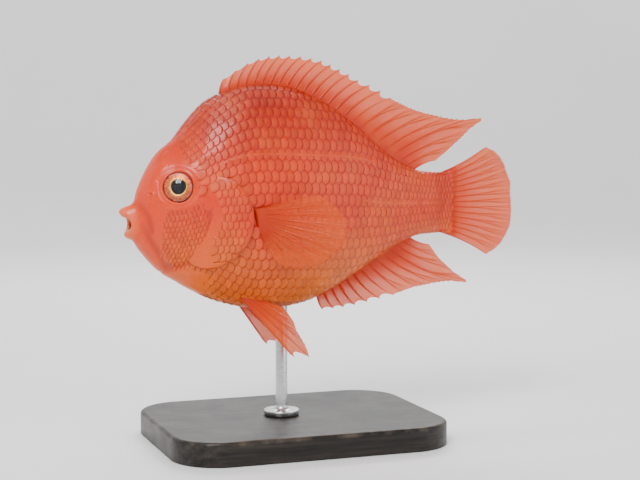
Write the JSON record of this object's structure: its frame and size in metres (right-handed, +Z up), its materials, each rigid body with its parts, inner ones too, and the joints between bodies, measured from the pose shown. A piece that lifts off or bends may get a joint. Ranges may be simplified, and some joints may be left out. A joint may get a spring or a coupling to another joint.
{
  "type": "blood parrot cichlid model on a display stand",
  "caption": "Life-size still model of a round-bodied red aquarium cichlid in a swimming pose, held over a flat base by one short rod.",
  "frame": {"origin": "on the floor under the stand, below the middle of the whole object", "axes": "+Z up, the fish's head points to -X and its left flank to -Y"},
  "size_m": [0.1805, 0.09, 0.1615],
  "materials": {
    "skin": "moist red-orange scaled skin",
    "fin": "thin orange-red rayed membrane",
    "eye": "clear wet eye with a black pupil",
    "base": "satin black lacquer",
    "steel": "brushed"
  },
  "bodies": {
    "root": {"head": "skin", "jaw_lower": "skin", "torso": "skin", "tail_stem": "skin", "gill_cover_left": "skin", "gill_cover_right": "skin", "eye_left": "eye", "eye_right": "eye", "dorsal_fin": "fin", "anal_fin": "fin", "tail_fin": "fin", "pectoral_fin_left": "fin", "pectoral_fin_right": "fin", "pelvic_fin_left": "fin", "pelvic_fin_right": "fin", "stand_base": "base", "stand_rod": "steel"}
  },
  "joints": []
}
